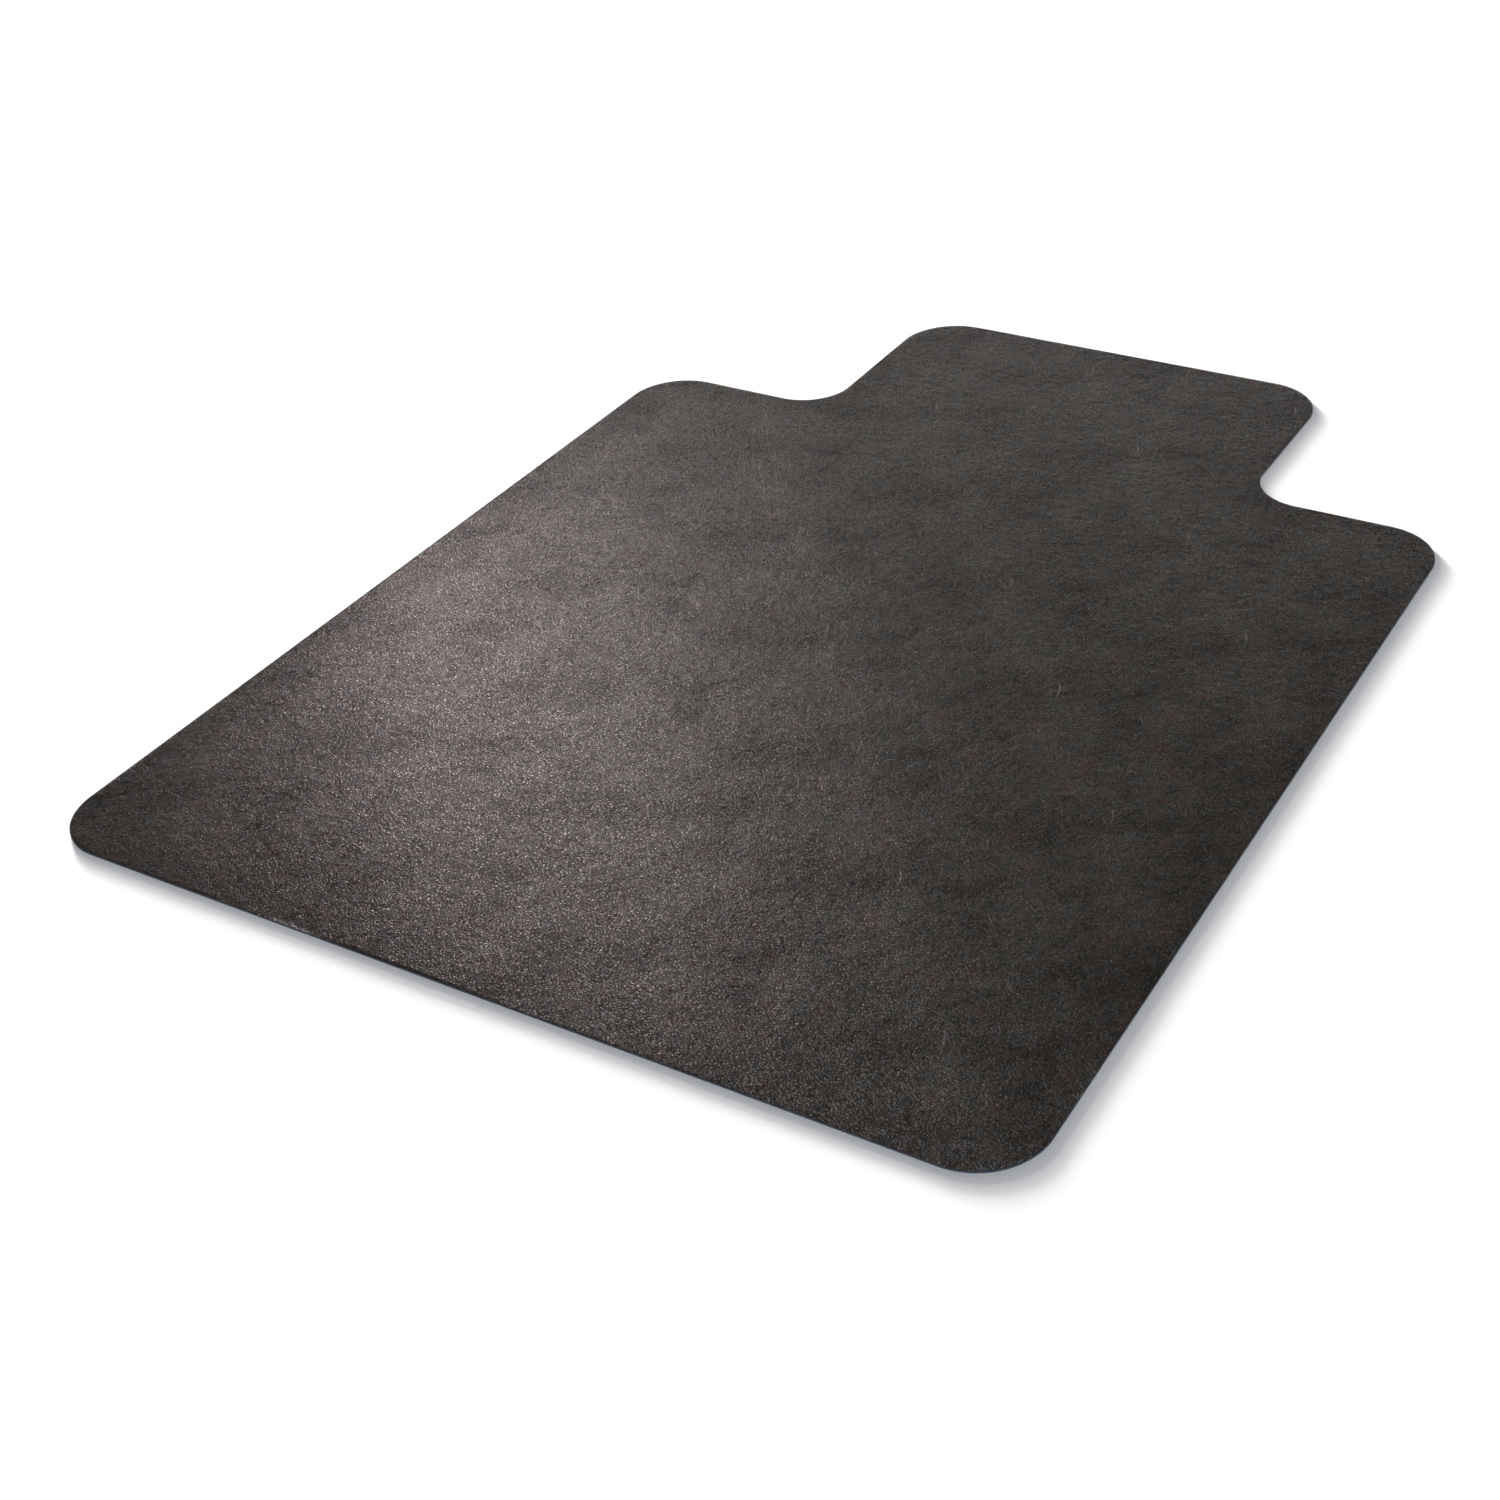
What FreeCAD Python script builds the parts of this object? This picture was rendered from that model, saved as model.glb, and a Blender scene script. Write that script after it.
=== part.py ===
import FreeCAD, Part
import math
import os

import Sketcher

# A lipped chair mat: a flexible laminated floor sheet with a leather-look face. The wide part carries the
# chair, and the narrower lip reaches under the desk. Six layers of one outline are bonded together and
# die-cut in one stroke.
#
# Frame: millimetres, +Z up, +Y towards the lip. The origin is the middle of the outline's bounding box,
# on the floor plane that the backing rests on.

SHEET = "Dims"

# alias, value in mm, what it measures
DIMENSIONS = (
    ("mat_width", 914.4, "overall width across the wide part"),
    ("mat_length", 1219.2, "overall length, lip included"),
    ("lip_width", 490.0, "width of the lip"),
    ("lip_depth", 252.0, "how far the lip stands out of the wide part"),
    ("corner_radius", 60.0, "four outer corners of the wide part"),
    ("lip_radius", 62.5, "two outer corners of the lip"),
    ("notch_radius", 53.0, "two hollow corners beside the lip"),
    ("base_thick", 0.4, "non-slip backing"),
    ("base_film_thick", 0.1, "adhesive film between backing and core"),
    ("core_thick", 1.0, "vinyl core"),
    ("skin_film_thick", 0.1, "adhesive film between core and cloth"),
    ("cloth_thick", 0.4, "knitted carrier of the synthetic leather"),
    ("skin_thick", 0.4, "embossed wear skin"),
    ("edge_round", 0.2, "rounding that the die leaves on the skin's upper edge"),
)

# Node name and the cell with its thickness, from the floor up.
LAYERS = (
    ("grip_base", "base_thick"),
    ("base_bond_film", "base_film_thick"),
    ("core_sheet", "core_thick"),
    ("skin_bond_film", "skin_film_thick"),
    ("carrier_cloth", "cloth_thick"),
    ("wear_skin", "skin_thick"),
)
TOP_LAYER = LAYERS[-1][0]

# How near a point has to be to count as lying on a corner or a face.
TOUCH = 1e-4
# Largest part of a layer's volume by which it may differ from area times thickness.
VOLUME_TOLERANCE = 1e-3


def cell(alias):
    """An expression that reads one cell of the sheet."""
    return f"{SHEET}.{alias}"


def make_sheet(doc):
    sheet = doc.addObject("Spreadsheet::Sheet", SHEET)
    for row, (alias, value, meaning) in enumerate(DIMENSIONS, start=1):
        sheet.set(f"A{row}", alias)
        sheet.set(f"B{row}", str(value))
        sheet.setAlias(f"B{row}", alias)
        sheet.set(f"C{row}", meaning)
    doc.recompute()
    return sheet


def corner_points(dims):
    """The outline's eight sharp corners, anticlockwise from the front left."""
    side = dims.mat_width / 2
    lip_side = dims.lip_width / 2
    front = -dims.mat_length / 2
    back = dims.mat_length / 2
    shoulder = back - dims.lip_depth
    return [
        FreeCAD.Vector(x, y, 0)
        for x, y in (
            (-side, front),
            (side, front),
            (side, shoulder),
            (lip_side, shoulder),
            (lip_side, back),
            (-lip_side, back),
            (-lip_side, shoulder),
            (-side, shoulder),
        )
    ]


def draw_outline(body, dims):
    """A fully constrained sketch of the outline with sharp corners, on the body's own XY plane."""
    sketch = body.newObject("Sketcher::SketchObject", f"{body.Name}_outline")
    plane = next(o for o in body.Origin.OriginFeatures if o.Role == "XY_Plane")
    sketch.AttachmentSupport = [(plane, "")]
    sketch.MapMode = "FlatFace"

    corners = corner_points(dims)
    ends = corners[1:] + corners[:1]
    lines = [sketch.addGeometry(Part.LineSegment(a, b), False) for a, b in zip(corners, ends)]
    front, right, right_shoulder, lip_right, lip_end, lip_left, left_shoulder, left = lines
    start, end = 1, 2
    y_axis = -2
    origin = -1

    def tie(kind, *arguments):
        sketch.addConstraint(Sketcher.Constraint(kind, *arguments))

    def measure(kind, arguments, value, expression):
        index = sketch.addConstraint(Sketcher.Constraint(kind, *arguments, value))
        sketch.setExpression(f"Constraints[{index}]", expression)

    for line, following in zip(lines, lines[1:] + lines[:1]):
        tie("Coincident", line, end, following, start)
    for line in (right, lip_right, lip_left, left):
        tie("Vertical", line)
    for line in (right_shoulder, left_shoulder):
        tie("Horizontal", line)
    tie("Horizontal", right_shoulder, end, left_shoulder, start)
    for line in (front, lip_end):
        tie("Symmetric", line, start, line, end, y_axis)

    measure("DistanceX", (front, start, front, end), dims.mat_width, cell("mat_width"))
    measure("DistanceX", (lip_end, end, lip_end, start), dims.lip_width, cell("lip_width"))
    measure("DistanceY", (lip_right, start, lip_right, end), dims.lip_depth, cell("lip_depth"))
    measure("DistanceY", (front, start, lip_end, end), dims.mat_length, cell("mat_length"))
    measure("DistanceY", (front, start, origin, start), dims.mat_length / 2, cell("mat_length") + " / 2")
    return sketch


def upright_edges(shape, corners):
    """Names of the shape's vertical edges that stand on the given corners."""
    names = []
    for number, edge in enumerate(shape.Edges, start=1):
        low, high = (vertex.Point for vertex in edge.Vertexes)
        upright = abs(low.x - high.x) < TOUCH and abs(low.y - high.y) < TOUCH
        feet = [corner for corner in corners if math.hypot(low.x - corner.x, low.y - corner.y) < TOUCH]
        if upright and feet:
            names.append(f"Edge{number}")
    return names


def rim_edges(shape, height):
    """Names of the shape's edges that lie flat at one height."""
    names = []
    for number, edge in enumerate(shape.Edges, start=1):
        box = edge.BoundBox
        if abs(box.ZMin - height) < TOUCH and abs(box.ZMax - height) < TOUCH:
            names.append(f"Edge{number}")
    return names


def add_fillet(body, name, base, edges, alias):
    fillet = body.newObject("PartDesign::Fillet", f"{body.Name}_{name}")
    fillet.Base = (base, edges)
    fillet.setExpression("Radius", cell(alias))
    body.Document.recompute()
    return fillet


def make_layer(doc, dims, node, thickness, layers_below):
    """One layer: the outline padded to its thickness, its corners rounded, raised onto what is below it."""
    body = doc.addObject("PartDesign::Body", node)
    body.Label = node
    sketch = draw_outline(body, dims)
    pad = body.newObject("PartDesign::Pad", f"{node}_pad")
    pad.Profile = sketch
    pad.setExpression("Length", cell(thickness))
    doc.recompute()

    front_left, front_right, right, notch_right, lip_right, lip_left, notch_left, left = corner_points(dims)
    rounded = (
        ("corners", (front_left, front_right, right, left), "corner_radius"),
        ("lip_corners", (lip_right, lip_left), "lip_radius"),
        ("notches", (notch_right, notch_left), "notch_radius"),
    )
    feature = pad
    for name, corners, alias in rounded:
        feature = add_fillet(body, name, feature, upright_edges(feature.Shape, corners), alias)
    if node == TOP_LAYER:
        rim = rim_edges(feature.Shape, feature.Shape.BoundBox.ZMax)
        add_fillet(body, "rim", feature, rim, "edge_round")

    if layers_below:
        height = " + ".join(cell(alias) for alias in layers_below)
        body.setExpression(".Placement.Base.z", height)
    doc.recompute()
    return body


def outline_area(dims):
    """Area inside the rounded outline. A rounded corner differs from a sharp one by this much of r squared."""
    corner_loss = 1 - math.pi / 4
    main = dims.mat_width * (dims.mat_length - dims.lip_depth)
    lip = dims.lip_width * dims.lip_depth
    cut_off = 4 * dims.corner_radius**2 + 2 * dims.lip_radius**2
    filled_in = 2 * dims.notch_radius**2
    return main + lip - corner_loss * (cut_off - filled_in)


def check(doc, dims, bodies):
    """Stops before anything is written if a feature failed or a layer isn't the solid it should be."""
    for thing in doc.Objects:
        if "Invalid" in thing.State or "Error" in thing.State:
            raise RuntimeError(f"{thing.Label} failed: {thing.State}")
    for body, (node, thickness) in zip(bodies, LAYERS):
        shape = body.Shape
        if shape.isNull() or not shape.isValid() or len(shape.Solids) != 1:
            raise RuntimeError(f"{node} is not one valid solid")
        expected = outline_area(dims) * getattr(dims, thickness)
        if abs(shape.Volume - expected) > VOLUME_TOLERANCE * expected:
            raise RuntimeError(f"{node} holds {shape.Volume:.0f} mm3 and should hold {expected:.0f}")


def main():
    doc = FreeCAD.newDocument("chair_mat")
    dims = make_sheet(doc)
    bodies = []
    layers_below = []
    for node, thickness in LAYERS:
        bodies.append(make_layer(doc, dims, node, thickness, layers_below))
        layers_below.append(thickness)
    check(doc, dims, bodies)

    os.makedirs("parts", exist_ok=True)
    for body in bodies:
        body.Shape.exportStep(f"parts/{body.Label}.step")
        box = body.Shape.BoundBox
        print(f"{body.Label}: z {box.ZMin:.2f} to {box.ZMax:.2f}, {body.Shape.Volume / 1000:.1f} cm3")


main()
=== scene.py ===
import math

import bpy
import numpy as np
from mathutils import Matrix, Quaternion, Vector
from mathutils.geometry import delaunay_2d_cdt


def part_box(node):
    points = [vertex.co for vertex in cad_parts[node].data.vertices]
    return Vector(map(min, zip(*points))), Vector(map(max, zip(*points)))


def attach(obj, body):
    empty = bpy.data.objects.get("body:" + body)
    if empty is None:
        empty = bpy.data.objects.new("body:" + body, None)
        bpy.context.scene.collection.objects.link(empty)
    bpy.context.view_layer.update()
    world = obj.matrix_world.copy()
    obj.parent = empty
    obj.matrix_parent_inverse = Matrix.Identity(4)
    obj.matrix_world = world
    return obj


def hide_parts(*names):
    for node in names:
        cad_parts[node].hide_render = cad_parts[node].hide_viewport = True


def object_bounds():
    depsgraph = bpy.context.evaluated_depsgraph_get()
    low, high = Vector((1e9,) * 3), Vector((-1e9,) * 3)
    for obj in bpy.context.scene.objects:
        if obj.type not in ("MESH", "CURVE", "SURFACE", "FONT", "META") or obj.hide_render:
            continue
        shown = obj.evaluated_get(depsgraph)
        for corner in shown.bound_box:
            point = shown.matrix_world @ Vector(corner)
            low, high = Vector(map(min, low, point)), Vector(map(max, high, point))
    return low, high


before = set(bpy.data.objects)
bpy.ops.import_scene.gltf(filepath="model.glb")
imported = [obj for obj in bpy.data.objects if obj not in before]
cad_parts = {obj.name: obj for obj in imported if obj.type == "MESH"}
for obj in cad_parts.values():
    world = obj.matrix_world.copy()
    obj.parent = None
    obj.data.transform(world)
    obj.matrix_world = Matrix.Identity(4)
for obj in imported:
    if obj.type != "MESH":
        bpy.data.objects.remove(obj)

# A lipped chair mat with a leather-look face. Each layer of the laminate is a mesh of its own, built on
# the outline and the heights of the CAD layer that it replaces. Lengths are metres.

CAD_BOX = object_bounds()
LOW, HIGH = CAD_BOX
TOP = HIGH.z
MM = 0.001

# The parts of the outline that the CAD box doesn't give.
LIP_WIDTH = 490 * MM
LIP_DEPTH = 252 * MM
CORNER_RADIUS = 60 * MM
LIP_RADIUS = 62.5 * MM
NOTCH_RADIUS = 53 * MM

# Spacing of mesh points along the outline, over the leather face, and over the hidden faces.
EDGE_STEP = 4.2 * MM
FACE_STEP = 4.1 * MM
HIDDEN_STEP = 24 * MM
# How much closer the points of an arc are. Then the shares of the spacing by which grid points are shifted
# at most, and by which they keep away from the outline.
ARC_FINENESS = 1.5
GRID_JITTER = 0.16
GRID_MARGIN = 0.6
# Points closer than this are one point, and edges sharper than this many degrees stay sharp.
SNAP = 1e-7
SHARP_ANGLE = 50

# The embossing roller prints the leather pattern again after this width and length, and every second
# column is dropped by half a length.
REPEAT_WIDTH = 237.5 * MM
REPEAT_LENGTH = 300 * MM

SEED = 7


# ---------------------------------------------------------------- outline


def arc(centre, radius, start, stop):
    """Points along an arc, in degrees, with both of its ends."""
    steps = max(2, round(radius * math.radians(abs(stop - start)) / EDGE_STEP * ARC_FINENESS))
    angles = np.radians(np.linspace(start, stop, steps + 1))
    return np.array(centre) + radius * np.column_stack([np.cos(angles), np.sin(angles)])


def mat_outline(inset=0.0):
    """The die-cut outline, anticlockwise, moved inwards by inset."""
    side, front, back = HIGH.x, LOW.y, HIGH.y
    lip = LIP_WIDTH / 2
    shoulder = back - LIP_DEPTH
    outer, lip_outer, hollow = CORNER_RADIUS, LIP_RADIUS, NOTCH_RADIUS
    right = [
        arc((side - outer, front + outer), outer - inset, -90, 0),
        arc((side - outer, shoulder - outer), outer - inset, 0, 90),
        arc((lip + hollow, shoulder + hollow), hollow + inset, 270, 180),
        arc((lip - lip_outer, back - lip_outer), lip_outer - inset, 0, 90),
    ]
    left = [corner[::-1] * (-1, 1) for corner in reversed(right)]
    corners = np.vstack(right + left)
    points = []
    for here, after in zip(corners, np.roll(corners, -1, axis=0)):
        steps = max(1, round(np.linalg.norm(after - here) / EDGE_STEP))
        points.append(here + (after - here) * np.linspace(0, 1, steps, endpoint=False)[:, None])
    return np.vstack(points)


def outward_normals(loop):
    along = np.roll(loop, -1, axis=0) - np.roll(loop, 1, axis=0)
    along /= np.linalg.norm(along, axis=1)[:, None]
    return np.column_stack([along[:, 1], -along[:, 0]])


# A die-cut edge wavers this far to either side of a line that runs as far inside the outline.
CUT_WAVER = 0.05 * MM
WAVER_TURNS = (20, 260)
WAVER_COUNT = 14


def cut_waver(loop, rng):
    """How far the cut edge lies outside the loop at each point. It is never above 0."""
    turn = np.linspace(0, 2 * np.pi, len(loop), endpoint=False)
    waver = np.zeros(len(loop))
    for cycles in rng.integers(*WAVER_TURNS, WAVER_COUNT):
        waver += np.sin(cycles * turn + rng.uniform(0, 2 * np.pi))
    return waver * CUT_WAVER / np.abs(waver).max() - CUT_WAVER


BATCH = 4000


def edge_distance(points, loop):
    """How far each point is from the nearest point of the loop."""
    nearest = [
        np.hypot(*(points[start : start + BATCH, None] - loop).transpose(2, 0, 1)).min(1)
        for start in range(0, len(points), BATCH)
    ]
    return np.concatenate(nearest)


def inside(points, loop, margin):
    """Which points lie inside the loop and at least margin away from it."""
    x, y = points[:, :1], points[:, 1:]
    ax, ay = loop[:, 0], loop[:, 1]
    bx, by = np.roll(ax, -1), np.roll(ay, -1)
    crosses = np.zeros(len(points), int)
    for start in range(0, len(points), BATCH):
        part = slice(start, start + BATCH)
        straddles = (ay > y[part]) != (by > y[part])
        rise = np.where(by == ay, 1.0, by - ay)
        reach = ax + (y[part] - ay) * (bx - ax) / rise
        crosses[part] = (straddles & (x[part] < reach)).sum(1)
    return (crosses % 2 == 1) & (edge_distance(points, loop) > margin)


# ---------------------------------------------------------------- leather relief


# The four tones of the printed clouds, from dark below 0 to pale above 0.
DARK, DIM, FAINT, PALE = -1.0, -0.5, 0.4, 0.8

# Soft strokes in one repeat of the pattern: x and y in mm from the repeat's corner, heading in degrees, half
# length and half width in mm, and tone. They make a row of dark wedges and claws with pale scales between.
CLOUDS = (
    (152, 222, 58, 20, 5, DARK),
    (188, 225, 30, 26, 13, DIM),
    (212, 248, 0, 9, 6, DIM),
    (125, 209, 0, 5, 5, DARK),
    (132, 235, 90, 9, 6, DIM),
    (65, 241, 0, 9, 8, DARK),
    (42, 275, 0, 15, 6, DARK),
    (60, 290, 60, 12, 6, DARK),
    (15, 260, 0, 12, 8, DIM),
    (70, 255, 110, 10, 4, DIM),
    (145, 280, 90, 14, 4, DIM),
    (127, 77, 90, 22, 12, PALE),
    (96, 268, 90, 22, 14, FAINT),
    (185, 288, 30, 14, 7, PALE),
    (38, 175, 90, 22, 14, FAINT),
    (218, 203, 90, 12, 8, FAINT),
    (70, 165, 0, 14, 12, FAINT),
    (98, 187, 0, 14, 12, FAINT),
    (230, 168, 60, 12, 5, PALE),
)
# The repeat's corner, measured from the mat's middle.
REPEAT_CORNER = (0.0, -9.6 * MM)
CLOUD_WANDER = 2.2 * MM
# How many plane waves each field has, and the shortest and longest of them.
WANDER_WAVES = (24, 9 * MM, 30 * MM)
SWELL_WAVES = (12, 90 * MM, 260 * MM)
WRINKLE_WAVES = (40, 14 * MM, 34 * MM)


def wrapped(distance, period):
    return (distance + period / 2) % period - period / 2


def waves(x, y, rng, count, shortest, longest):
    """A smooth random field, mostly between -1 and 1: plane waves of mixed length and heading, added up."""
    field = np.zeros_like(x)
    for _ in range(count):
        length = rng.uniform(shortest, longest)
        turn = rng.uniform(0, np.pi)
        phase = rng.uniform(0, 2 * np.pi)
        field += np.sin(2 * np.pi * (x * np.cos(turn) + y * np.sin(turn)) / length + phase)
    return field / math.sqrt(2 * count)


def clouds(x, y):
    """Tone of the printed clouds at a point, from dark below 0 to pale above 0, the same in every repeat."""
    rng = np.random.default_rng(SEED + 2)
    x = x + CLOUD_WANDER * waves(x, y, rng, *WANDER_WAVES)
    y = y + CLOUD_WANDER * waves(x, y, rng, *WANDER_WAVES)
    tone = np.zeros_like(x)
    for drop in (0, 1):
        for cloud_x, cloud_y, degrees, length, width, strength in CLOUDS:
            dx = x - REPEAT_CORNER[0] - cloud_x * MM - drop * REPEAT_WIDTH / 2
            dy = y - REPEAT_CORNER[1] - cloud_y * MM - drop * REPEAT_LENGTH / 2
            dx, dy = wrapped(dx, REPEAT_WIDTH), wrapped(dy, REPEAT_LENGTH)
            turn = math.radians(degrees)
            along = (dx * math.cos(turn) + dy * math.sin(turn)) / (length * MM)
            across = (dy * math.cos(turn) - dx * math.sin(turn)) / (width * MM)
            tone += strength * np.exp(-(along**2 + across**2) / 2)
    return tone


SWELL = 0.05 * MM
CLOUD_RELIEF = 0.03 * MM
WRINKLE = 0.018 * MM


def leather_height(x, y):
    """How far the leather face stands above its nominal plane."""
    rng = np.random.default_rng(SEED)
    swell = waves(x, y, rng, *SWELL_WAVES)
    wrinkle = waves(x, y, rng, *WRINKLE_WAVES)
    return SWELL * swell + CLOUD_RELIEF * clouds(x, y) + WRINKLE * wrinkle


# Creases in one repeat: x and y in mm of the middle, heading in degrees, length in mm, bend from the middle
# to either end in degrees, width in mm, and how worn from 0 to 1.
CREASES = (
    (225, 265, 108, 27, 24, 2.3, 1.0),
    (222, 257, 128, 13, -15, 1.6, 0.8),
    (229, 270, 84, 11, 10, 1.4, 0.7),
    (121, 189, 138, 24, 6, 1.5, 0.6),
    (129, 184, 139, 20, -5, 1.4, 0.5),
    (80, 161, 4, 42, 35, 1.5, 0.5),
    (73, 254, 130, 21, -12, 1.7, 0.6),
    (18, 205, 62, 22, 20, 1.4, 0.4),
    (176, 120, 24, 26, -18, 1.4, 0.4),
)
CREASE_HEIGHT = 0.14 * MM
CREASE_SUNK = 0.03 * MM
CREASE_STATIONS = 12
CREASE_SECTION = (-1.0, -0.55, 0.0, 0.55, 1.0)
# The stretch of a half wave that gives a crease its fullness from end to end, and its power. Then the power
# of the cosine that rounds the crown from side to side.
CREASE_ENDS = (0.04, 0.96)
CREASE_TAPER = 0.7
CREASE_CROWN = 1.5
# From one repeat to the next a crease strays by about this many mm and keeps this share of its wear.
CREASE_WANDER = 0.6
CREASE_WEAR = (0.5, 1.0)
CREASE_MARGIN = 18 * MM
# Creases that belong to no repeat: how many, length and width in mm, the spread of their bend in radians, and
# how worn.
STRAY_CREASES = 60
STRAY_LENGTH = (7, 20)
STRAY_WIDTH = (1.2, 1.8)
STRAY_BEND = 0.5
STRAY_WORN = (0.25, 0.6)


def crease_places(loop):
    """Every crease of every repeat that falls inside the loop, and a few stray ones."""
    rng = np.random.default_rng(SEED + 1)
    places = []
    for column in range(-3, 4):
        for row in range(-4, 5):
            shift_x = REPEAT_CORNER[0] + column * REPEAT_WIDTH / 2
            shift_y = REPEAT_CORNER[1] + (row + (column % 2) / 2) * REPEAT_LENGTH
            for x, y, degrees, length, bend, width, worn in CREASES:
                wander = rng.normal(0, CREASE_WANDER, 2)
                worn *= rng.uniform(*CREASE_WEAR)
                middle = (shift_x + (x + wander[0]) * MM, shift_y + (y + wander[1]) * MM)
                turn = (math.radians(degrees), math.radians(bend))
                places.append((*middle, *turn, length * MM, width * MM, worn))
    for _ in range(STRAY_CREASES):
        middle = rng.uniform((LOW.x, LOW.y), (HIGH.x, HIGH.y))
        turn = (rng.uniform(0, math.pi), rng.normal(0, STRAY_BEND))
        size = (rng.uniform(*STRAY_LENGTH) * MM, rng.uniform(*STRAY_WIDTH) * MM)
        places.append((*middle, *turn, *size, rng.uniform(*STRAY_WORN)))
    middles = np.array([place[:2] for place in places])
    kept = inside(middles, loop, CREASE_MARGIN)
    return [place for place, keep in zip(places, kept) if keep]


def crease_line(middle_x, middle_y, middle_turn, bend, length):
    """Points along one bent crease and the direction at each."""
    along = np.linspace(-0.5, 0.5, CREASE_STATIONS)
    turn = middle_turn + bend * 2 * along
    step = length / (CREASE_STATIONS - 1)
    x = np.cumsum(np.cos(turn)) * step
    y = np.cumsum(np.sin(turn)) * step
    line = np.column_stack([x - x.mean() + middle_x, y - y.mean() + middle_y])
    return line, turn


def crease_mesh(place):
    """A closed sliver that stands out of the leather along one crease: points, faces, and its wear and
    painted glint.
    """
    *course, width, worn = place
    line, turn = crease_line(*course)
    swell = np.sin(np.pi * np.linspace(*CREASE_ENDS, CREASE_STATIONS)) ** CREASE_TAPER
    across = np.column_stack([-np.sin(turn), np.cos(turn)])
    points, rub_and_glint_values = [], []
    for spot, side, fullness in zip(line, across, swell):
        for offset in CREASE_SECTION:
            x, y = spot + side * offset * width / 2 * fullness
            crown = math.cos(offset * math.pi / 2) ** CREASE_CROWN
            rise = crown * CREASE_HEIGHT * worn * fullness - (1 - crown) * CREASE_SUNK
            points.append((x, y, rise))
            rub_and_glint_values.append(crown * worn * fullness)
        points.append((*spot, -2 * CREASE_SUNK))
        rub_and_glint_values.append(0.0)
    points = np.array(points)
    points[:, 2] += TOP + leather_height(points[:, 0], points[:, 1])
    ring = len(CREASE_SECTION) + 1
    faces = []
    for station in range(CREASE_STATIONS - 1):
        base = station * ring
        for k in range(ring):
            after = (k + 1) % ring
            faces.append((base + after, base + k, base + ring + k, base + ring + after))
    faces.append(tuple(range(ring)))
    faces.append(tuple(reversed(range(len(points) - ring, len(points)))))
    return points, faces, rub_and_glint_values


# ---------------------------------------------------------------- meshes


def grid_points(loop, step, rng):
    """A slightly uneven triangular grid that fills the loop."""
    rows = np.arange(LOW.y, HIGH.y, step * math.sqrt(3) / 2)
    columns = np.arange(LOW.x, HIGH.x, step)
    x, y = np.meshgrid(columns, rows)
    x[1::2] += step / 2
    shift = rng.uniform(-GRID_JITTER, GRID_JITTER, (x.size, 2)) * step
    points = np.column_stack([x.ravel(), y.ravel()]) + shift
    return points[inside(points, loop, step * GRID_MARGIN)]


def fill(loop, step, rng):
    """Triangles over the loop. The loop's own points come first and keep their order."""
    inner = grid_points(loop, step, rng)
    everything = [Vector(point) for point in np.vstack([loop, inner])]
    count = len(loop)
    border = [(k, (k + 1) % count) for k in range(count)]
    inside_only = 1
    points, _, faces, *_ = delaunay_2d_cdt(everything, border, [], inside_only, SNAP)
    return np.array([tuple(point) for point in points]), [tuple(face) for face in faces]


def laminate_layer(name, node, edge, top_step=HIDDEN_STEP, top_height=None, seed=0):
    """A closed sheet in the place of a CAD layer.

    edge is the profile of its cut side from the top face down: pairs of inset and depth in metres, the
    last at the layer's full depth. top_height lifts the points of the top face."""
    rng = np.random.default_rng(SEED + seed)
    node_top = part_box(node)[1].z
    outline = mat_outline()
    normals = outward_normals(outline)
    wander = cut_waver(outline, rng)
    rings = [outline + normals * (wander - inset)[:, None] for inset, _ in edge]
    heights = [node_top - depth for _, depth in edge]

    top_points, top_faces = fill(rings[0], top_step, rng)
    top = np.column_stack([top_points, np.full(len(top_points), heights[0])])
    if top_height is not None:
        top[:, 2] += top_height(top[:, 0], top[:, 1])
    count = len(outline)
    points, faces = [top], list(top_faces)
    above, total = 0, len(top)
    for ring, height in zip(rings[1:], heights[1:]):
        level = np.column_stack([ring, np.full(count, height)])
        points.append(level)
        for k in range(count):
            after = (k + 1) % count
            faces.append((above + after, above + k, total + k, total + after))
        above, total = total, total + count
    under_points, under_faces = fill(rings[-1], HIDDEN_STEP, rng)
    new = under_points[count:]
    points.append(np.column_stack([new, np.full(len(new), heights[-1])]))
    rename = [above + k for k in range(count)] + [total + k for k in range(len(new))]
    faces += [tuple(rename[k] for k in reversed(face)) for face in under_faces]
    return make_piece(name, np.vstack(points), faces)


def make_piece(name, points, faces):
    mesh = bpy.data.meshes.new(name)
    mesh.from_pydata(points.tolist(), [], faces)
    mesh.validate()
    mesh.shade_smooth()
    mesh.set_sharp_from_angle(angle=math.radians(SHARP_ANGLE))
    piece = bpy.data.objects.new(name, mesh)
    bpy.context.scene.collection.objects.link(piece)
    return piece


def point_values(piece, name, values):
    """Stores one number per point, for the material to read."""
    attribute = piece.data.attributes.new(name, "FLOAT", "POINT")
    attribute.data.foreach_set("value", np.asarray(values, np.float32))


def rounded_edge(radius, depth):
    """A cut side whose upper corner is rounded."""
    turns = np.radians((0, 22.5, 45, 67.5, 90))
    corner = [(radius * (1 - math.sin(t)), radius * (1 - math.cos(t))) for t in turns]
    return corner + [(0.0, depth)]


def depth_of(node):
    low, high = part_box(node)
    return high.z - low.z


EDGE_ROUNDING = 0.24 * MM


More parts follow.
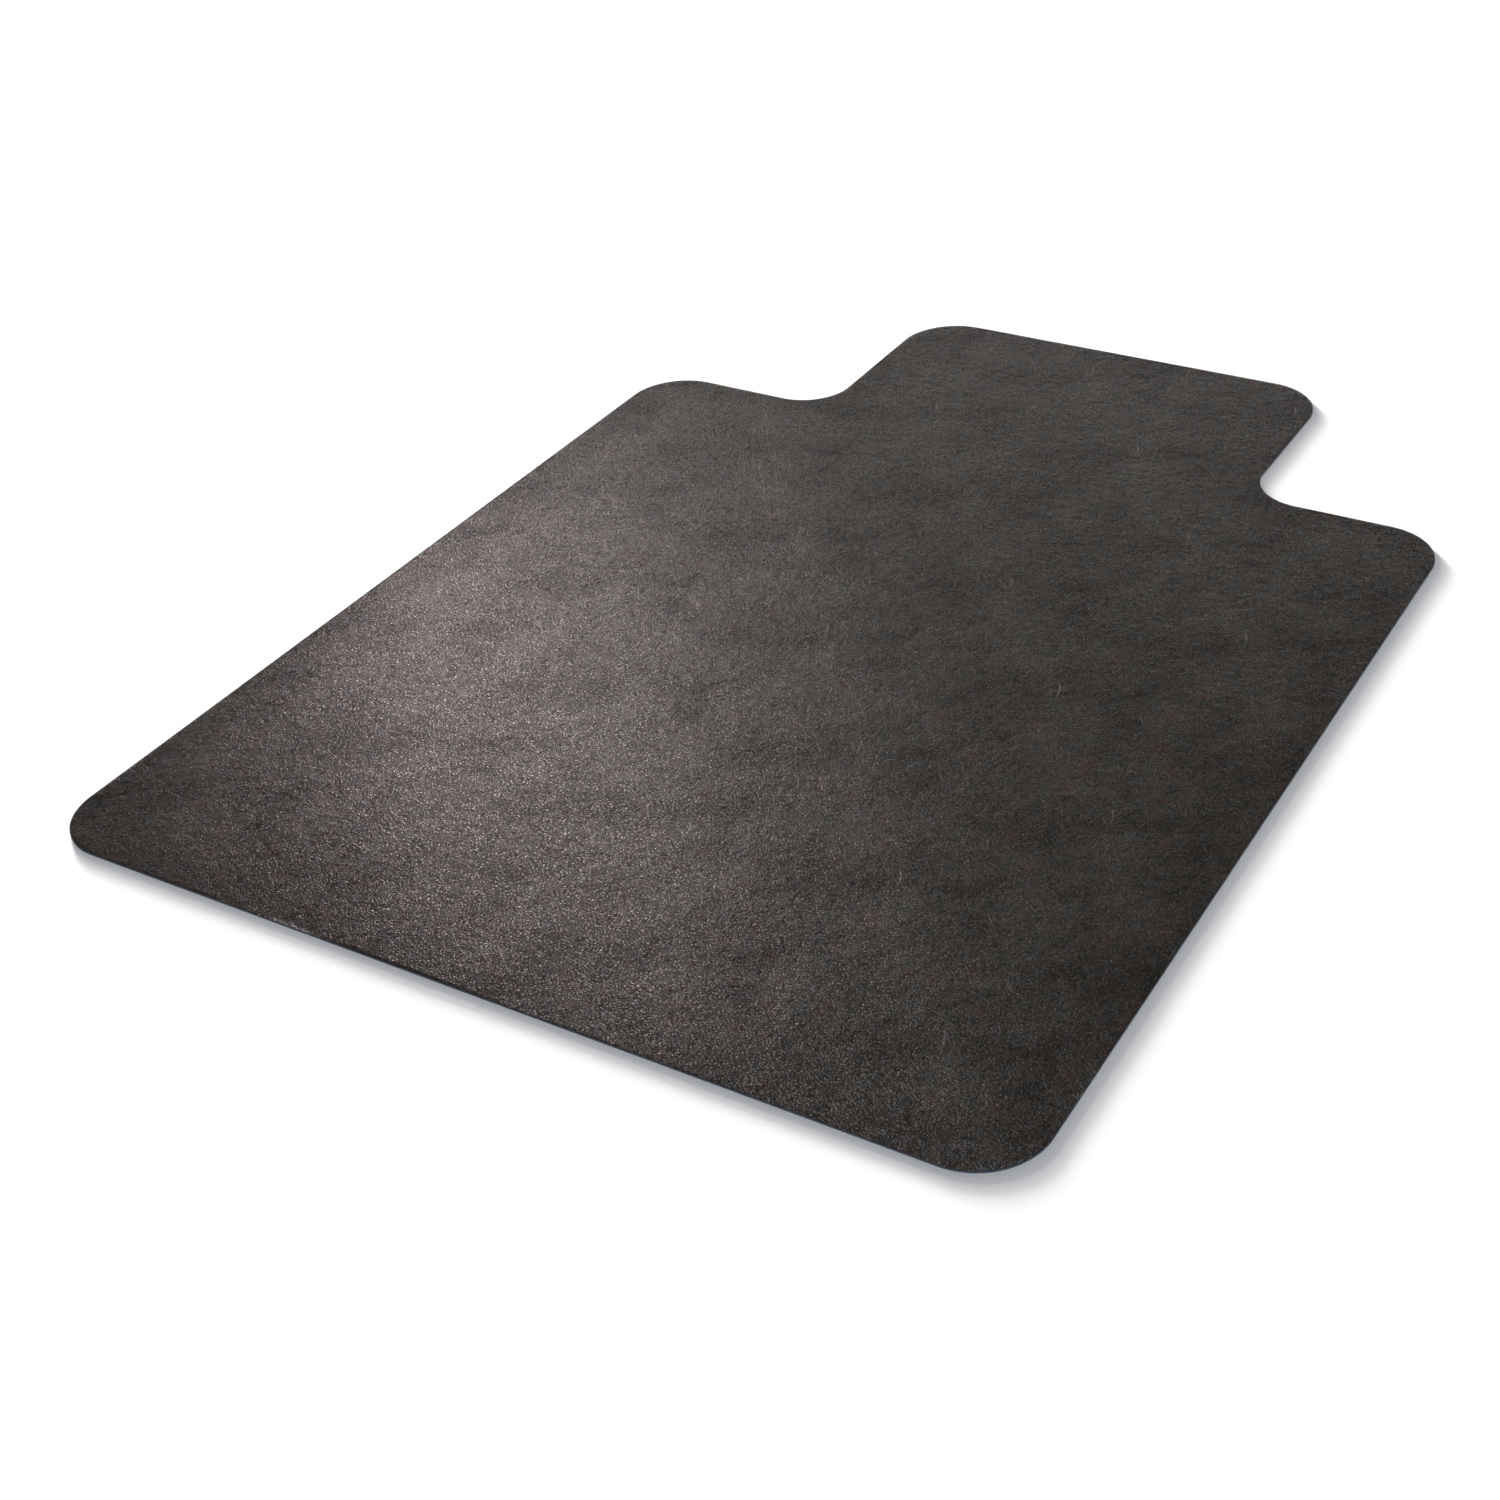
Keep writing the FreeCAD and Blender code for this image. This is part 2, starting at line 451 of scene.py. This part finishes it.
def make_wear_skin():
    """The leather face with its relief and creases, and the numbers per point that its material reads."""
    node = "wear_skin"
    sheet = laminate_layer(
        "leather_skin_sheet",
        node,
        rounded_edge(EDGE_ROUNDING, depth_of(node)),
        top_step=FACE_STEP,
        top_height=leather_height,
    )
    mesh = sheet.data
    points = np.empty(len(mesh.vertices) * 3)
    mesh.vertices.foreach_get("co", points)
    points = points.reshape(-1, 3)
    faces = [tuple(polygon.vertices) for polygon in mesh.polygons]
    rub_and_glint_values = [0.0] * len(points)
    blocks, total = [points], len(points)
    for place in crease_places(mat_outline()):
        more, more_faces, more_rub_and_glint = crease_mesh(place)
        blocks.append(more)
        faces += [tuple(total + k for k in face) for face in more_faces]
        rub_and_glint_values += more_rub_and_glint
        total += len(more)
    bpy.data.objects.remove(sheet)
    points = np.vstack(blocks)
    piece = make_piece("leather_skin", points, faces)
    point_values(piece, "cloud", clouds(points[:, 0], points[:, 1]))
    # The border value drives painted shade: the material darkens colour and shine near the cut edge with it.
    away = edge_distance(points[:, :2], mat_outline()) / BORDER_WIDTH
    point_values(piece, "border", np.exp(-(away**2)))
    # Per point, how much of the pale crease colour it gets: rubbed wear and a painted highlight together.
    point_values(piece, "rub_and_glint", rub_and_glint_values)
    return piece


NUB_PITCH = 10 * MM
NUB_LENGTH = 5.2 * MM
NUB_WIDTH = 2.8 * MM
NUB_HEIGHT = 0.18 * MM
# A nub's root is this many nub heights above the floor, a little inside the web. Its tip is this share as
# wide.
NUB_ROOT = 1.1
NUB_TIP = 0.55


def make_grip_base():
    """The backing: a thin web with rows of small lozenge nubs under it, turned this way and that."""
    node = "grip_base"
    floor_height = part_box(node)[0].z
    web = depth_of(node) - NUB_HEIGHT
    sheet = laminate_layer("grip_web", node, [(0.0, 0.0), (0.0, web)], seed=5)
    mesh = sheet.data
    points = [tuple(vertex.co) for vertex in mesh.vertices]
    faces = [tuple(polygon.vertices) for polygon in mesh.polygons]
    bpy.data.objects.remove(sheet)

    rows = np.arange(LOW.y, HIGH.y, NUB_PITCH * math.sqrt(3) / 2)
    columns = np.arange(LOW.x, HIGH.x, NUB_PITCH)
    x, y = np.meshgrid(columns, rows)
    x[1::2] += NUB_PITCH / 2
    turned = np.zeros_like(x)
    turned[1::2] = math.pi / 2
    spots = np.column_stack([x.ravel(), y.ravel()])
    kept = inside(spots, mat_outline(), NUB_LENGTH)
    root = floor_height + NUB_HEIGHT * NUB_ROOT
    for (spot_x, spot_y), turn in zip(spots[kept], turned.ravel()[kept]):
        start = len(points)
        for size, height in ((1.0, root), (NUB_TIP, floor_height)):
            for quarter in range(4):
                reach = (NUB_LENGTH, NUB_WIDTH)[quarter % 2] / 2 * size
                angle = turn + quarter * math.pi / 2
                points.append((spot_x + reach * math.cos(angle), spot_y + reach * math.sin(angle), height))
        faces.append(tuple(start + k for k in range(4)))
        faces.append(tuple(start + 7 - k for k in range(4)))
        for k in range(4):
            after = (k + 1) % 4
            faces.append((start + after, start + k, start + 4 + k, start + 4 + after))
    return make_piece("grip_backing", np.array(points), faces)


# ---------------------------------------------------------------- materials


class Shader:
    """A material's node tree, built with one short call per node."""

    def __init__(self, name):
        self.material = bpy.data.materials.new(name)
        self.material.use_nodes = True
        self.tree = self.material.node_tree
        self.surface = self.tree.nodes["Principled BSDF"]
        self.place = self.add("ShaderNodeTexCoord").outputs["Object"]

    def add(self, kind, **settings):
        node = self.tree.nodes.new(kind)
        for name, value in settings.items():
            setattr(node, name, value)
        return node

    def feed(self, socket, value):
        if isinstance(value, bpy.types.NodeSocket):
            self.tree.links.new(value, socket)
        else:
            socket.default_value = value

    def math(self, operation, first, second=0.0):
        node = self.add("ShaderNodeMath", operation=operation)
        self.feed(node.inputs[0], first)
        self.feed(node.inputs[1], second)
        return node.outputs[0]

    def attribute(self, name):
        return self.add("ShaderNodeAttribute", attribute_name=name).outputs["Fac"]

    def turned(self, where, degrees, stretch):
        """The coordinates turned about Z and stretched, so that a texture runs along that direction."""
        node = self.add("ShaderNodeMapping", vector_type="TEXTURE")
        self.feed(node.inputs["Vector"], where)
        node.inputs["Rotation"].default_value = (0, 0, math.radians(degrees))
        node.inputs["Scale"].default_value = (stretch, 1, 1)
        return node.outputs[0]

    def bent(self, where, size, amount):
        """The coordinates pushed about by a soft noise, so that a texture flows."""
        noise = self.add("ShaderNodeTexNoise")
        self.feed(noise.inputs["Vector"], where)
        noise.inputs["Scale"].default_value = 1 / size
        noise.inputs["Detail"].default_value = 1
        centred = self.add("ShaderNodeVectorMath", operation="SUBTRACT")
        self.feed(centred.inputs[0], noise.outputs["Color"])
        centred.inputs[1].default_value = (0.5, 0.5, 0.5)
        scaled = self.add("ShaderNodeVectorMath", operation="SCALE")
        self.feed(scaled.inputs[0], centred.outputs[0])
        scaled.inputs["Scale"].default_value = amount
        moved = self.add("ShaderNodeVectorMath", operation="ADD")
        self.feed(moved.inputs[0], where)
        self.feed(moved.inputs[1], scaled.outputs[0])
        return moved.outputs[0]

    def noise(self, size, detail=2.0, rough=0.5, where=None):
        node = self.add("ShaderNodeTexNoise")
        self.feed(node.inputs["Vector"], where or self.place)
        node.inputs["Scale"].default_value = 1 / size
        node.inputs["Detail"].default_value = detail
        node.inputs["Roughness"].default_value = rough
        return node.outputs["Fac"]

    def pebbles(self, size, where=None):
        """Height of packed pebbles: low in the cracks between them."""
        node = self.add("ShaderNodeTexVoronoi", feature="DISTANCE_TO_EDGE")
        self.feed(node.inputs["Vector"], where or self.place)
        node.inputs["Scale"].default_value = 1 / size
        return node.outputs["Distance"]

    def ramp(self, value, low, high, to_low=0.0, to_high=1.0):
        node = self.add("ShaderNodeMapRange", interpolation_type="SMOOTHSTEP")
        self.feed(node.inputs["Value"], value)
        limits = {"From Min": low, "From Max": high, "To Min": to_low, "To Max": to_high}
        for name, limit in limits.items():
            node.inputs[name].default_value = limit
        return node.outputs[0]

    def mix(self, factor, first, second):
        node = self.add("ShaderNodeMix", data_type="FLOAT")
        for socket, value in zip(node.inputs[:1] + node.inputs[2:4], (factor, first, second)):
            self.feed(socket, value)
        return node.outputs[0]

    def blend(self, factor, first, second):
        """A colour from first to second. Plain colours are given as red, green and blue."""
        node = self.add("ShaderNodeMix", data_type="RGBA")
        self.feed(node.inputs["Factor"], factor)
        for socket, value in ((node.inputs[6], first), (node.inputs[7], second)):
            self.feed(socket, (*value, 1.0) if isinstance(value, tuple) else value)
        return node.outputs[2]

    def lighten(self, colour, factor):
        """The colour times a number that may be above 1."""
        node = self.add("ShaderNodeVectorMath", operation="SCALE")
        self.feed(node.inputs[0], colour)
        self.feed(node.inputs["Scale"], factor)
        return node.outputs[0]

    def emboss(self, height, depth, normal=None):
        node = self.add("ShaderNodeBump")
        self.feed(node.inputs["Height"], height)
        node.inputs["Distance"].default_value = depth
        if normal is not None:
            self.feed(node.inputs["Normal"], normal)
        return node.outputs["Normal"]

    def finish(self, colour, roughness, normal, specular=0.5):
        self.feed(self.surface.inputs["Base Color"], colour)
        self.feed(self.surface.inputs["Roughness"], roughness)
        self.feed(self.surface.inputs["Normal"], normal)
        self.feed(self.surface.inputs["Specular IOR Level"], specular)
        return self.material


LEATHER_WARM = (0.0605, 0.0376, 0.0285)
LEATHER_COOL = (0.0388, 0.0384, 0.0307)
# Pale colour on the crease crowns: partly rubbed wear, partly a painted highlight where the ridges catch the
# light.
RUBBED_AND_GLINT_COLOUR = (0.20, 0.17, 0.155)
PLAIN_SHINE = 0.5
RUBBED_SHINE = 2.0
LEATHER_ROUGHNESS = 0.26
ROUGHNESS_SPREAD = 0.05
# Painted shade: the face's colour and shine are darkened near its cut edge, by how much and over what
# distance.
BORDER_PAINTED_SHADE = 0.2
BORDER_WIDTH = 45 * MM
FIBRE = 1.25 * MM
FIBRE_STRETCH = 1.6
# Directions of the fibres in degrees, and the size of the patches in which one gives way to another.
FIBRE_LAYS = (18, 64, 108, 153)
LAY_CHANGE_FINE = 24 * MM
LAY_CHANGE_COARSE = 40 * MM
# The grain flows: a soft noise of this size pushes it about, by half of the sway at most.
FLOW = 30 * MM
FIBRE_SWAY = 8 * MM
PEBBLE = 2.1 * MM
PEBBLE_STRETCH = 1.3
PATCH = 48 * MM
HUE_PATCH = 16 * MM
MOTTLE = 9 * MM

# How much each pattern in the leather shades the colour, how much it shades the shine, and how deep it is
# pressed.
FIBRE_EFFECT = (0.1, 0.55, 0.06 * MM)
PEBBLE_EFFECT = (0.13, 0.95, 0.08 * MM)
MOTTLE_EFFECT = (0.05, 0.12, 0.2 * MM)
PATCH_EFFECT = (0.1, 0.1, 0.0)
CLOUD_EFFECT = (0.32, 0.32, 0.0)


def fibres(s, flow):
    """Short fibres that lie one way here and another way there."""
    lays = []
    for degrees in FIBRE_LAYS:
        lays.append(s.noise(FIBRE, 1, 0.5, s.turned(flow, degrees, FIBRE_STRETCH)))
    first = s.mix(s.ramp(s.noise(LAY_CHANGE_FINE, 1), 0.46, 0.54), lays[0], lays[1])
    second = s.mix(s.ramp(s.noise(LAY_CHANGE_FINE, 1, where=flow), 0.46, 0.54), lays[2], lays[3])
    return s.mix(s.ramp(s.noise(LAY_CHANGE_COARSE, 1, where=flow), 0.45, 0.55), first, second)


def leather():
    s = Shader("faux_leather")
    rub_and_glint = s.attribute("rub_and_glint")
    flow = s.bent(s.place, FLOW, FIBRE_SWAY)
    lay = fibres(s, flow)
    patterns = (
        (s.attribute("cloud"), -1.4, 1.4, CLOUD_EFFECT),
        (s.noise(PATCH, 3, 0.55), 0.3, 0.7, PATCH_EFFECT),
        (s.noise(MOTTLE, 3, 0.6), 0.3, 0.7, MOTTLE_EFFECT),
        (s.pebbles(PEBBLE, s.turned(flow, 60, PEBBLE_STRETCH)), 0.0, 0.3, PEBBLE_EFFECT),
        (lay, 0.3, 0.7, FIBRE_EFFECT),
    )
    hue = s.ramp(s.noise(HUE_PATCH, 4, 0.65), 0.36, 0.64)
    colour = s.blend(hue, LEATHER_WARM, LEATHER_COOL)
    shine = PLAIN_SHINE
    normal = None
    for pattern, low, high, (shade, gloss, depth) in patterns:
        colour = s.lighten(colour, s.ramp(pattern, low, high, 1 - shade, 1 + shade))
        shine = s.math("MULTIPLY", shine, s.ramp(pattern, low, high, 1 - gloss, 1 + gloss))
        if depth:
            normal = s.emboss(s.ramp(pattern, low, high), depth, normal)
    # Painted shade: colour and shine darken towards the cut edge by the border value.
    shade = s.ramp(s.attribute("border"), 0.0, 1.0, 1.0, 1 - BORDER_PAINTED_SHADE)
    colour = s.lighten(colour, shade)
    shine = s.math("MULTIPLY", shine, shade)
    # Crease crowns turn pale: partly rubbed wear, partly a painted highlight on their ridges.
    colour = s.blend(rub_and_glint, colour, RUBBED_AND_GLINT_COLOUR)
    shine = s.math("MULTIPLY", shine, s.ramp(rub_and_glint, 0.0, 1.0, 1.0, RUBBED_SHINE))
    spread = (LEATHER_ROUGHNESS + ROUGHNESS_SPREAD, LEATHER_ROUGHNESS - ROUGHNESS_SPREAD)
    roughness = s.ramp(lay, 0.3, 0.7, *spread)
    return s.finish(colour, roughness, normal, shine)


KNIT_LOOP = 0.55 * MM
LOOP_STRETCH = 1.8
YARN = 0.18 * MM
KNIT_DARK = (0.02, 0.02, 0.022)
KNIT_PALE = (0.085, 0.08, 0.078)


def knit():
    s = Shader("carrier_knit")
    loops = s.pebbles(KNIT_LOOP, s.turned(s.place, 90, LOOP_STRETCH))
    yarn = s.noise(YARN, 3, 0.6)
    colour = s.blend(s.ramp(loops, 0.0, 0.3), KNIT_DARK, KNIT_PALE)
    colour = s.lighten(colour, s.ramp(yarn, 0.2, 0.8, 0.75, 1.25))
    normal = s.emboss(loops, 0.1 * MM)
    normal = s.emboss(yarn, 0.04 * MM, normal)
    return s.finish(colour, s.ramp(yarn, 0.2, 0.8, 0.82, 0.95), normal, 0.25)


ADHESIVE_FLOW = 3 * MM
ADHESIVE_DARK = (0.05, 0.046, 0.04)
ADHESIVE_PALE = (0.1, 0.092, 0.075)


def film():
    s = Shader("bond_adhesive")
    flow = s.noise(ADHESIVE_FLOW, 3, 0.6)
    colour = s.blend(s.ramp(flow, 0.3, 0.7), ADHESIVE_DARK, ADHESIVE_PALE)
    return s.finish(colour, s.ramp(flow, 0.3, 0.7, 0.3, 0.45), s.emboss(flow, 0.05 * MM))


VINYL_BLOTCH = 0.7 * MM
VINYL_SPECK = 0.25 * MM
VINYL_DARK = (0.06, 0.085, 0.135)
VINYL_PALE = (0.08, 0.112, 0.175)


def vinyl_core():
    s = Shader("core_vinyl")
    blotch = s.noise(VINYL_BLOTCH, 3, 0.6)
    speck = s.noise(VINYL_SPECK, 2, 0.5)
    colour = s.blend(s.ramp(blotch, 0.3, 0.7), VINYL_DARK, VINYL_PALE)
    colour = s.lighten(colour, s.ramp(speck, 0.3, 0.7, 0.85, 1.15))
    normal = s.emboss(blotch, 0.05 * MM)
    return s.finish(colour, s.ramp(speck, 0.3, 0.7, 0.42, 0.6), normal)


DUST_PATCH = 6 * MM
PORE = 0.5 * MM
RUBBER_DARK = (0.014, 0.018, 0.024)
RUBBER_DUSTY = (0.032, 0.037, 0.044)


def rubber_backing():
    s = Shader("grip_rubber")
    dust = s.noise(DUST_PATCH, 5, 0.65)
    pores = s.noise(PORE, 2, 0.5)
    colour = s.blend(s.ramp(dust, 0.35, 0.75), RUBBER_DARK, RUBBER_DUSTY)
    normal = s.emboss(pores, 0.05 * MM)
    return s.finish(colour, s.ramp(dust, 0.3, 0.7, 0.62, 0.8), normal, 0.35)


# ---------------------------------------------------------------- assembly


def fit_layer(piece, node, material):
    piece.data.materials.append(material)
    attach(piece, "root")
    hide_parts(node)


# How far the cut sides of the cloth and the films stand back from the laminate's edge.
CLOTH_INSET = 0.14 * MM
FILM_INSET = 0.07 * MM


def plain_edge(node, inset):
    """A square cut side, moved inwards by inset."""
    return [(inset, 0.0), (inset, depth_of(node) / 2), (inset, depth_of(node))]


def build_mat():
    """The whole laminate: gives back the leather skin, and the layers that show only their cut edges."""
    skin = make_wear_skin()
    fit_layer(skin, "wear_skin", leather())

    cloth_node = "carrier_cloth"
    cloth = laminate_layer("carrier_knit_cloth", cloth_node, plain_edge(cloth_node, CLOTH_INSET), seed=1)
    fit_layer(cloth, cloth_node, knit())

    adhesive = film()
    films = []
    for number, node in enumerate(("skin_bond_film", "base_bond_film")):
        sheet = laminate_layer(f"{node}_sheet", node, plain_edge(node, FILM_INSET), seed=2 + number)
        fit_layer(sheet, node, adhesive)
        films.append(sheet)

    core_node = "core_sheet"
    core = laminate_layer("vinyl_core", core_node, plain_edge(core_node, 0.0), seed=4)
    fit_layer(core, core_node, vinyl_core())

    base = make_grip_base()
    fit_layer(base, "grip_base", rubber_backing())

    return skin, [cloth, *films, core, base]


# ---------------------------------------------------------------- stage, lights and camera


FLOOR_REACH = 40.0
FLOOR_GREY = 0.8


def make_floor():
    corners = [(-FLOOR_REACH, -FLOOR_REACH), (FLOOR_REACH, -FLOOR_REACH)]
    corners += [(FLOOR_REACH, FLOOR_REACH), (-FLOOR_REACH, FLOOR_REACH)]
    mesh = bpy.data.meshes.new("floor")
    mesh.from_pydata([(x, y, 0) for x, y in corners], [], [(0, 1, 2, 3)])
    floor = bpy.data.objects.new("floor", mesh)
    bpy.context.scene.collection.objects.link(floor)
    paint = bpy.data.materials.new("pale_floor")
    paint.use_nodes = True
    surface = paint.node_tree.nodes["Principled BSDF"]
    surface.inputs["Base Color"].default_value = (FLOOR_GREY, FLOOR_GREY, FLOOR_GREY, 1)
    surface.inputs["Roughness"].default_value = 0.9
    surface.inputs["Specular IOR Level"].default_value = 0.0
    mesh.materials.append(paint)
    return floor


def aim(thing, place, target, roll=0.0):
    thing.location = place
    facing = (Vector(target) - Vector(place)).to_track_quat("-Z", "Y")
    thing.rotation_mode = "QUATERNION"
    thing.rotation_quaternion = facing @ Quaternion((0, 0, 1), roll)


def add_light(name, kind, energy, colour, **settings):
    data = bpy.data.lights.new(name, kind)
    data.energy = energy
    data.color = colour
    for setting, value in settings.items():
        setattr(data, setting, value)
    light = bpy.data.objects.new(name, data)
    bpy.context.scene.collection.objects.link(light)
    return light


def heading(azimuth, elevation):
    """Unit vector from the mat towards a direction. Azimuth 0 is the front, -Y, and 90 is +X."""
    a, e = math.radians(azimuth), math.radians(elevation)
    return Vector((math.sin(a) * math.cos(e), -math.cos(a) * math.cos(e), math.sin(e)))


# Lamps that don't light the leather, because they would flood its grain. Low ones behind the left corner draw
# the soft shadow beside the near edges, on the floor only. A broad cool one from the front fills that shadow
# and the cut edges of the layers below the skin. Each has a name, strength, colour, and azimuth, height and
# breadth in degrees.
SHADOW_LAMPS = (
    ("shadow_lamp_low", 24.0, (1.0, 1.0, 0.99), 231, 4, 6),
    ("shadow_lamp_high", 7.4, (1.0, 1.0, 0.99), 231, 8, 12),
)
FILL_LAMP = ("fill_lamp", 1.49, (0.893, 0.94, 1.0), 31, 45, 60)


# Two soft boxes side by side behind the left edge, mirrored in the leather as one broad glow: name,
# strength, colour, width in metres, azimuth and height in degrees.
KEY_BOXES = (
    ("key_soft_box_wide", 3.85, (1.0, 0.89, 0.854), 0.6, 214, 38),
    ("key_soft_box_small", 4.0, (1.0, 0.785, 0.809), 0.3, 224, 34),
)
GLOW = Vector((-0.3, -0.2, 0.0))
KEY_DISTANCE = 2.0

# The overhead box lights the mat only: on the floor it would fill the shadow.
OVERHEAD = ("overhead_soft_box", "AREA", 27.0, (0.866, 0.904, 1.0))
OVERHEAD_SIZE = 1.6
OVERHEAD_HEIGHT = 3.0


def light_only(light, things):
    """Limits a light to some objects."""
    group = bpy.data.collections.new(f"lit_by_{light.name}")
    for thing in things:
        group.objects.link(thing)
    light.light_linking.receiver_collection = group


def add_sun(name, energy, colour, azimuth, elevation, breadth):
    lamp = add_light(name, "SUN", energy, colour, angle=math.radians(breadth))
    aim(lamp, heading(azimuth, elevation), (0, 0, 0))
    return lamp


def make_lights(floor, skin, layers):
    for name, energy, colour, size, azimuth, elevation in KEY_BOXES:
        key = add_light(name, "AREA", energy, colour, shape="SQUARE", size=size)
        aim(key, GLOW + heading(azimuth, elevation) * KEY_DISTANCE, GLOW)

    overhead = add_light(*OVERHEAD, shape="SQUARE", size=OVERHEAD_SIZE)
    aim(overhead, (0, 0, OVERHEAD_HEIGHT), (0, 0, 0))
    light_only(overhead, [skin, *layers])

    for lamp in SHADOW_LAMPS:
        light_only(add_sun(*lamp), [floor])
    light_only(add_sun(*FILL_LAMP), [floor, *layers])


BACKDROP_GLOW = 0.93
ROOM_GLOW = 0.102
ROOM_COLOUR = (0.962, 0.985, 0.988, 1)
# Where the backdrop starts and where it is fully bright, along each axis of the direction looked in.
BACKDROP_EDGES = (("Z", 0.5, 0.2), ("Y", -0.3, 0.3))


def make_world():
    """A dim room with a bright backdrop low behind the mat. Straight to the camera it all looks white."""
    world = bpy.data.worlds.new("studio")
    world.use_nodes = True
    tree = world.node_tree
    link = tree.links.new
    room = tree.nodes["Background"]
    room.inputs["Color"].default_value = ROOM_COLOUR

    direction = tree.nodes.new("ShaderNodeSeparateXYZ")
    link(tree.nodes.new("ShaderNodeTexCoord").outputs["Generated"], direction.inputs[0])
    glow = None
    for axis, dark, bright in BACKDROP_EDGES:
        part = tree.nodes.new("ShaderNodeMapRange")
        part.interpolation_type = "SMOOTHSTEP"
        part.inputs["From Min"].default_value = dark
        part.inputs["From Max"].default_value = bright
        link(direction.outputs[axis], part.inputs["Value"])
        if glow is not None:
            both = tree.nodes.new("ShaderNodeMath")
            both.operation = "MULTIPLY"
            link(glow, both.inputs[0])
            link(part.outputs[0], both.inputs[1])
            glow = both.outputs[0]
        else:
            glow = part.outputs[0]
    strength = tree.nodes.new("ShaderNodeMath")
    strength.operation = "MULTIPLY_ADD"
    link(glow, strength.inputs[0])
    strength.inputs[1].default_value = BACKDROP_GLOW
    strength.inputs[2].default_value = ROOM_GLOW
    link(strength.outputs[0], room.inputs["Strength"])

    white = tree.nodes.new("ShaderNodeBackground")
    white.inputs["Color"].default_value = (1, 1, 1, 1)
    seen = tree.nodes.new("ShaderNodeLightPath")
    pick = tree.nodes.new("ShaderNodeMixShader")
    link(seen.outputs["Is Camera Ray"], pick.inputs["Fac"])
    link(room.outputs[0], pick.inputs[1])
    link(white.outputs[0], pick.inputs[2])
    link(pick.outputs[0], tree.nodes["World Output"].inputs["Surface"])
    bpy.context.scene.world = world


CAMERA_AZIMUTH = 31.45
CAMERA_ELEVATION = 34.87
CAMERA_ROLL = -3.42
CAMERA_DISTANCE = 1.9665
CAMERA_TARGET = (0.0882, -0.1989, 0.0)
CAMERA_SENSOR = 36.0
CAMERA_LENS = 54.28
CAMERA_SHIFT = (-0.0596, -0.0039)


def make_camera():
    data = bpy.data.cameras.new("camera")
    data.sensor_width = CAMERA_SENSOR
    data.lens = CAMERA_LENS
    data.shift_x, data.shift_y = CAMERA_SHIFT
    camera = bpy.data.objects.new("camera", data)
    bpy.context.scene.collection.objects.link(camera)
    place = Vector(CAMERA_TARGET) + heading(CAMERA_AZIMUTH, CAMERA_ELEVATION) * CAMERA_DISTANCE
    aim(camera, place, CAMERA_TARGET, math.radians(CAMERA_ROLL))
    bpy.context.scene.camera = camera


make_camera()
make_lights(make_floor(), *build_mat())
make_world()
bpy.context.scene.view_settings.view_transform = "Standard"
